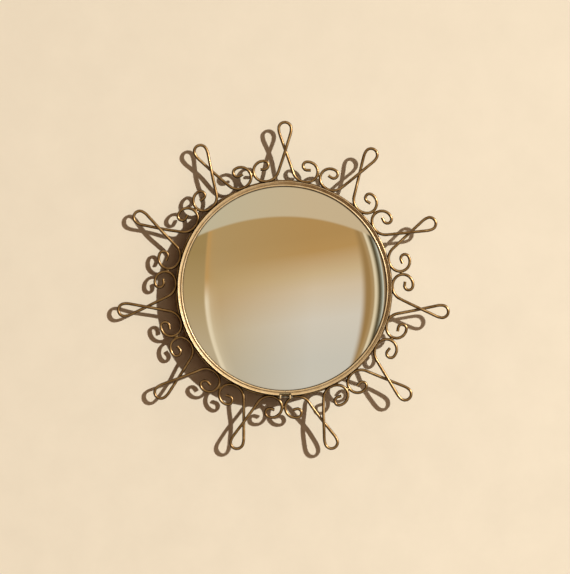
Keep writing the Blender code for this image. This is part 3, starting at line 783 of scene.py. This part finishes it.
shape = bmesh.new()
lower = [shape.verts.new((x, -depth, -STRAP_BELOW)) for x, depth in strap_outline]
upper = [shape.verts.new((x, -depth, STRAP_ABOVE)) for x, depth in strap_outline]
shape.faces.new(lower)
shape.faces.new(upper[::-1])
for number in range(len(lower)):
    shape.faces.new((lower[number - 1], lower[number], upper[number], upper[number - 1]))
strap = add_piece("keyhole_hanger_strap", shape, plated_steel)
ALONG_Y = Matrix.Rotation(math.pi / 2, 4, "X")
slot_top = KEYHOLE_HEIGHT + KEY_SLOT_LENGTH - KEY_SLOT_WIDTH / 2
carve(strap,
      drill(KEYHOLE_RADIUS, KEY_CUT, Matrix.Translation((0.0, 0.0, KEYHOLE_HEIGHT)) @ ALONG_Y,
            KEY_STEPS),
      block((-KEY_SLOT_WIDTH / 2, -KEY_SLOT_CUT, KEYHOLE_HEIGHT),
            (KEY_SLOT_WIDTH / 2, KEY_SLOT_CUT, slot_top), Matrix.Identity(4)),
      drill(KEY_SLOT_WIDTH / 2, KEY_CUT, Matrix.Translation((0.0, 0.0, slot_top)) @ ALONG_Y,
            KEY_STEPS))
worn = strap.modifiers.new("Worn edges", "BEVEL")
worn.width = WORN_EDGE
worn.segments = 2
worn.limit_method = "ANGLE"
worn.angle_limit = math.radians(50.0)
settle(strap)
smooth(strap, 40.0)
finish_piece(strap, "plated_steel", "hanger_strap")

inside = PAN_WELL + PAN_SHEET
rivet_foot = foot_rear - RIVET_PLAY
rivet_section = [(0.0, inside + RIVET_HEIGHT / 2),
                 (RIVET_FACE * RIVET_HEAD, inside + RIVET_HEIGHT / 2),
                 (RIVET_HEAD, inside + RIVET_PLAY), (RIVET_RADIUS, inside),
                 (RIVET_RADIUS, rivet_foot)]
for part in range(RIVET_STEPS + 1):
    turn = math.pi / 2 * part / RIVET_STEPS
    rivet_section.append(
        (RIVET_HEAD * math.cos(turn), rivet_foot - RIVET_HEIGHT * math.sin(turn)))
rivet_height = (STRAP_ABOVE - STRAP_BELOW) / 2
for side, across in (("left", STRAP_FOOT / 2 - foot_end), ("right", foot_end - STRAP_FOOT / 2)):
    at = Matrix.Translation((across, 0.0, rivet_height)) @ ALONG_Y
    rivet = add_piece(f"domed_rivet_{side}", spun(rivet_section, at, SMALL_STEPS), plated_steel)
    finish_piece(rivet, "plated_steel", f"hanger_rivet_{side}")


# Wall and floor
# A plain cream wall just behind the mirror takes its shadows, and a plain pale floor lies
# well below. The wall shows from the front only, so that the mirror's back can be seen.

WALL_CLEAR = 0.0060
WALL_TURN = math.radians(2.0)
WALL_HALF = 2.6                         # half the wall's width and height
WALL_RISE = 1.0                         # its middle, above the hanger
FLOOR_HEIGHT = -0.95
FLOOR_HALF = 6.0

# Cream emulsion on smooth plaster: matt, with faint clouds about 60 mm across.
cream_plaster, tree, shader, place = start_material("cream_painted_plaster", Roughness=0.85)
mottle = add_node(tree, "ShaderNodeTexNoise",
                  {"Vector": place, "Scale": 1 / 0.060, "Detail": 8.0, "Roughness": 0.6})
cream = add_node(tree, "ShaderNodeValToRGB", {0: mottle},
                 stops=((0.30, "#EFE8D7"), (0.70, "#F4EDDC")))
# Painted shade: the wall is a little darker towards the top
height = add_node(tree, "ShaderNodeSeparateXYZ", {0: place})
painted_top_shade = add_node(tree, "ShaderNodeMapRange",
                    {"Value": height.outputs["Z"], "From Min": -0.5, "From Max": 0.5,
                     "To Max": 0.35})
paint = add_node(tree, "ShaderNodeMix", {0: painted_top_shade, 6: cream, 7: linear("#D8D0BF")}, **COLOURS)
link_looks(shader, Base_Color=paint)
# Its rear face is clear, and so is its front face to a ray that came through the rear
behind = add_node(tree, "ShaderNodeNewGeometry")
passed = add_node(tree, "ShaderNodeLightPath")
through = add_node(tree, "ShaderNodeMath",
                   {0: behind.outputs["Backfacing"], 1: passed.outputs["Transparent Depth"]},
                   operation="ADD", use_clamp=True)
clear = add_node(tree, "ShaderNodeBsdfTransparent")
one_sided = add_node(tree, "ShaderNodeMixShader", {0: through, 1: shader, 2: clear})
tree.links.new(result(one_sided), tree.nodes["Material Output"].inputs["Surface"])


def add_sheet(name, half_size, place, material):
    """A square surface of the stage."""
    shape = bmesh.new()
    bmesh.ops.create_grid(shape, x_segments=1, y_segments=1, size=half_size)
    shape.transform(place)
    mesh = bpy.data.meshes.new(name)
    shape.to_mesh(mesh)
    shape.free()
    mesh.materials.append(material)
    return add_object(name, mesh)


wall_place = (Matrix.Translation((0.0, WALL_CLEAR, 0.0)) @ Matrix.Rotation(WALL_TURN, 4, "Z")
              @ Matrix.Rotation(math.pi / 2, 4, "X") @ Matrix.Translation((0.0, WALL_RISE, 0.0)))
wall = add_sheet("wall", WALL_HALF, wall_place, cream_plaster)

# Floor paint: matt and pale, with faint clouds about 125 mm across.
pale_floor, tree, shader, place = start_material(
    "pale_floor_paint", Roughness=0.9, Specular_IOR_Level=0.0)
clouds = add_node(tree, "ShaderNodeTexNoise", {"Vector": place, "Scale": 1 / 0.125, "Detail": 4.0})
pale = add_node(tree, "ShaderNodeValToRGB", {0: clouds},
                stops=((0.3, "#C0B8AB"), (0.7, "#C8C1B4")))
link_looks(shader, Base_Color=pale)
floor = add_sheet("floor", FLOOR_HALF, Matrix.Translation((0.0, 0.0, FLOOR_HEIGHT)), pale_floor)
floor.visible_glossy = False
floor.visible_diffuse = False


# Room and lights
# The mirror needs a room to show: the world is one for reflected light alone, worked out
# from the direction, with a pale ceiling, an ochre wall that pales downwards, a side wall
# at the left and a window bay at the right. Seen directly, it is a plain pale studio.

world = bpy.data.worlds.new("room")
bpy.context.scene.world = world
world.use_nodes = True
tree = world.node_tree
tree.nodes.clear()
direction = add_node(tree, "ShaderNodeTexCoord").outputs["Generated"]
parts = add_node(tree, "ShaderNodeSeparateXYZ", {0: direction})
ahead = add_node(tree, "ShaderNodeMath", {0: parts.outputs["Y"], 1: -1.0}, operation="MULTIPLY")
side_turn = add_node(tree, "ShaderNodeMath", {0: parts.outputs["X"], 1: ahead},
                     operation="ARCTAN2")
azimuth = add_node(tree, "ShaderNodeMath", {0: side_turn}, operation="DEGREES")
lift = add_node(tree, "ShaderNodeMath", {0: parts.outputs["Z"]}, operation="ARCSINE")
elevation = add_node(tree, "ShaderNodeMath", {0: lift}, operation="DEGREES")

# The far wall: ochre high up, paling downwards, a little sooner at the right
slant = add_node(tree, "ShaderNodeMath", {0: azimuth, 1: -0.15, 2: elevation},
                 operation="MULTIPLY_ADD")
fall = add_node(tree, "ShaderNodeMapRange", {"Value": slant, "From Min": -26.0, "From Max": 18.0})
left_part = add_node(tree, "ShaderNodeValToRGB", {0: fall},
                     stops=((0.0, "#BAAC90"), (1.0, "#B09465"), (0.33, "#C0AC88"),
                            (0.58, "#BDA074"), (0.70, "#BC9F70"), (0.80, "#B79B6B"),
                            (0.88, "#B39769")))
right_part = add_node(tree, "ShaderNodeValToRGB", {0: fall},
                      stops=((0.0, "#CBC6BA"), (1.0, "#B28D57"), (0.33, "#D4CBBC"),
                             (0.58, "#D3C0A4"), (0.70, "#CBB28A"), (0.80, "#C1A174"),
                             (0.88, "#B7915A")))
across = add_node(tree, "ShaderNodeMapRange",
                  {"Value": azimuth, "From Min": -24.0, "From Max": 14.0})
far_wall = add_node(tree, "ShaderNodeMix", {0: across, 6: left_part, 7: right_part}, **COLOURS)

# The side wall at the left, past a corner that bows below and catches the light there
below = add_node(tree, "ShaderNodeMath", {0: elevation, 1: 0.0}, operation="MINIMUM")
below_squared = add_node(tree, "ShaderNodeMath", {0: below, 1: 2.0}, operation="POWER")
corner = add_node(tree, "ShaderNodeMath", {0: below_squared, 1: -0.0068, 2: azimuth},
                  operation="MULTIPLY_ADD")
left_tone = add_node(tree, "ShaderNodeMapRange",
                     {"Value": elevation, "From Min": -20.0, "From Max": 14.0})
left_wall = add_node(tree, "ShaderNodeValToRGB", {0: left_tone},
                     stops=((0.0, "#BBAA8B"), (1.0, "#A08656"), (0.58, "#AF9669")))
left_share = add_node(tree, "ShaderNodeMapRange",
                      {"Value": corner, "From Min": -24.2, "From Max": -25.3}, **EASED)
with_left = add_node(tree, "ShaderNodeMix", {0: left_share, 6: far_wall, 7: left_wall}, **COLOURS)
edge_place = add_node(tree, "ShaderNodeMapRange",
                      {"Value": corner, "From Min": -25.2, "From Max": -19.2})
edge_glow = add_node(tree, "ShaderNodeValToRGB", {0: edge_place},
                     stops=((0.0, "#000000"), (1.0, "#000000"), (0.06, "#9A9A9A"),
                            (0.13, "#F2F2F2"), (0.25, "#E0E0E0"), (0.40, "#888888"),
                            (0.62, "#5A5A5A")))
edge_low = add_node(tree, "ShaderNodeMapRange",
                    {"Value": elevation, "From Min": 6.0, "From Max": -4.0}, **EASED)
edge_colour = add_node(tree, "ShaderNodeMix",
                       {0: edge_low, 6: linear("#C29557"), 7: linear("#EADBBD")}, **COLOURS)
edge_strength = add_node(tree, "ShaderNodeMapRange", {"Value": edge_low, "To Min": 0.75})
edge_share = add_node(tree, "ShaderNodeMath",
                      {0: edge_glow, 1: edge_strength}, operation="MULTIPLY")
with_edge = add_node(tree, "ShaderNodeMix", {0: edge_share, 6: with_left, 7: edge_colour},
                     **COLOURS)

# The window bay at the right, its edges bowed: brown reveal, cream frame, dark and pale panes
middle = add_node(tree, "ShaderNodeMath", {0: elevation, 1: 0.5}, operation="SUBTRACT")
squared = add_node(tree, "ShaderNodeMath", {0: middle, 1: 2.0}, operation="POWER")
reveal_place = add_node(tree, "ShaderNodeMath",
                        {0: squared, 1: 0.0030, 2: azimuth}, operation="MULTIPLY_ADD")
reveal_share = add_node(tree, "ShaderNodeMapRange",
                        {"Value": reveal_place, "From Min": 30.8, "From Max": 33.6}, **EASED)
with_reveal = add_node(tree, "ShaderNodeMix",
                       {0: reveal_share, 6: with_edge, 7: linear("#9D7D4E")}, **COLOURS)
bowed = add_node(tree, "ShaderNodeMath", {0: squared, 1: 0.0066, 2: azimuth},
                 operation="MULTIPLY_ADD")
pane_place = add_node(tree, "ShaderNodeMapRange",
                      {"Value": bowed, "From Min": 34.35, "From Max": 41.35})
panes = add_node(tree, "ShaderNodeValToRGB", {0: pane_place},
                 stops=((0.0, "#A3824F"), (1.0, "#5C4528"), (0.114, "#AA8A5C"), (0.243, "#AC9168"),
                        (0.30, "#D8C6A4"), (0.357, "#E2D2B2"), (0.429, "#C6B799"),
                        (0.486, "#988B6E"), (0.543, "#5C5036"), (0.586, "#564C37"),
                        (0.643, "#726C58"), (0.70, "#929280"), (0.757, "#D0D1C3"),
                        (0.814, "#A08B6D"), (0.886, "#7E5F3B")))
pane_share = add_node(tree, "ShaderNodeMapRange",
                      {"Value": bowed, "From Min": 34.2, "From Max": 35.4}, **EASED)
with_bay = add_node(tree, "ShaderNodeMix", {0: pane_share, 6: with_reveal, 7: panes}, **COLOURS)

# The ceiling, above a line that bows down to both sides
off_middle = add_node(tree, "ShaderNodeMath", {0: azimuth, 1: 4.0}, operation="SUBTRACT")
off_squared = add_node(tree, "ShaderNodeMath", {0: off_middle, 1: 2.0}, operation="POWER")
above = add_node(tree, "ShaderNodeMath", {0: off_squared, 1: 0.0072, 2: elevation},
                 operation="MULTIPLY_ADD")
ceiling_share = add_node(tree, "ShaderNodeMapRange",
                         {"Value": above, "From Min": 26.9, "From Max": 27.9}, **EASED)
ceiling = add_node(tree, "ShaderNodeMix", {0: across, 6: linear("#C2B79B"), 7: linear("#C9B492")},
                   **COLOURS)
with_ceiling = add_node(tree, "ShaderNodeMix", {0: ceiling_share, 6: with_bay, 7: ceiling},
                        **COLOURS)

# Away from the window the room falls into brown shade; far round to the sides and above,
# it is sunlit towards the window and dark away from it
towards_window = add_node(tree, "ShaderNodeVectorMath", {0: direction, 1: (0.766, 0.0, 0.643)},
                          operation="DOT_PRODUCT")
sunlit = add_node(tree, "ShaderNodeMapRange",
                  {"Value": towards_window, "From Min": -0.55, "From Max": -0.15}, **EASED)
away = add_node(tree, "ShaderNodeMapRange",
                {"Value": towards_window, "From Min": -0.2, "From Max": -0.55}, **EASED)
off_ahead = add_node(tree, "ShaderNodeMapRange",
                     {"Value": ahead, "From Min": 0.80, "From Max": 0.50}, **EASED)
shade_share = add_node(tree, "ShaderNodeMath", {0: away, 1: off_ahead}, operation="MULTIPLY")
with_shade = add_node(tree, "ShaderNodeMix",
                      {0: shade_share, 6: with_ceiling, 7: linear("#573A1E")}, **COLOURS)
sides = add_node(tree, "ShaderNodeMix",
                 {0: sunlit, 6: linear("#3A2814"), 7: (2.0, 1.68, 1.25, 1.0)}, **COLOURS)
side_share = add_node(tree, "ShaderNodeMapRange",
                      {"Value": ahead, "From Min": 0.42, "From Max": 0.12}, **EASED)
with_sides = add_node(tree, "ShaderNodeMix", {0: side_share, 6: with_shade, 7: sides}, **COLOURS)
rear_share = add_node(tree, "ShaderNodeMapRange", {"Value": ahead, "From Max": -0.4})
room = add_node(tree, "ShaderNodeMix", {0: rear_share, 6: with_sides, 7: linear("#B3A68F")},
                **COLOURS)

# Camera rays see a plain pale studio, and light that has scattered once or more is a warm
# fill from the right
rays = add_node(tree, "ShaderNodeLightPath")
from_right = add_node(tree, "ShaderNodeMapRange",
                      {"Value": parts.outputs["X"], "From Min": -1.0, "From Max": 1.0})
scattered = add_node(tree, "ShaderNodeValToRGB", {0: from_right},
                     stops=((0.0, "#0C0000"), (1.0, "#D9C1A5"), (0.28, "#350A00"),
                            (0.5, "#693F12")))
fill = add_node(tree, "ShaderNodeMix", {0: rays.outputs["Diffuse Depth"], 6: room, 7: scattered},
                **COLOURS)
seen = add_node(tree, "ShaderNodeMix",
                {0: rays.outputs["Is Camera Ray"], 6: fill, 7: linear("#EAE4D8")}, **COLOURS)
light = add_node(tree, "ShaderNodeBackground", {"Color": seen, "Strength": 1.0})
add_node(tree, "ShaderNodeOutputWorld", {"Surface": light})


def add_light(name, towards, distance, size, watts, colour, spread=180.0):
    """A square studio light that faces the mirror."""
    lamp = bpy.data.lights.new(name, "AREA")
    lamp.size = size
    lamp.spread = math.radians(spread)
    lamp.energy = watts
    lamp.color = linear(colour)[:3]
    light = add_object(name, lamp)
    light.location = CENTRE + Vector(towards).normalized() * distance
    light.rotation_euler = Vector(towards).to_track_quat("Z", "Y").to_euler()


add_light("key_light", towards=(0.727, -0.588, 0.355), distance=14.0, size=0.24, watts=2450.0,
          colour="#FFFAF0")
add_light("rear_light", towards=(-0.35, 1.0, 0.45), distance=3.2, size=1.2, watts=26.0,
          colour="#FFF2E0", spread=50.0)


# Camera
# The photograph's view: almost straight on, a little from the left and from below, and far
# off with a long lens.

CAMERA_TURN = math.radians(-4.0)
CAMERA_LIFT = math.radians(-2.0)
CAMERA_ROLL = math.radians(0.5)
CAMERA_DISTANCE = 2.2
PIXEL = 0.001376                        # what one pixel of the photograph covers
FRAME_HEIGHT = 574                      # pixels
AIM_RIGHT = 0.4                         # pixels from the mirror's middle to the frame's
AIM_UP = 1.4

back = Vector((math.sin(CAMERA_TURN) * math.cos(CAMERA_LIFT),
               -math.cos(CAMERA_TURN) * math.cos(CAMERA_LIFT), math.sin(CAMERA_LIFT)))
level = back.to_track_quat("Z", "Y").to_matrix().to_4x4()
rolled = level @ Matrix.Rotation(CAMERA_ROLL, 4, "Z")
off_middle = rolled.to_3x3() @ Vector((AIM_RIGHT * PIXEL, AIM_UP * PIXEL, 0.0))
aim = CENTRE - Vector((0.0, RAY_DEPTH, 0.0)) + off_middle
camera_data = bpy.data.cameras.new("camera")
camera_data.sensor_width = 36.0
camera_data.lens = 36.0 * CAMERA_DISTANCE / (FRAME_HEIGHT * PIXEL)
camera = add_object("camera", camera_data)
camera.matrix_world = Matrix.Translation(aim + back * CAMERA_DISTANCE) @ rolled
bpy.context.scene.camera = camera
bpy.context.scene.view_settings.view_transform = "Standard"
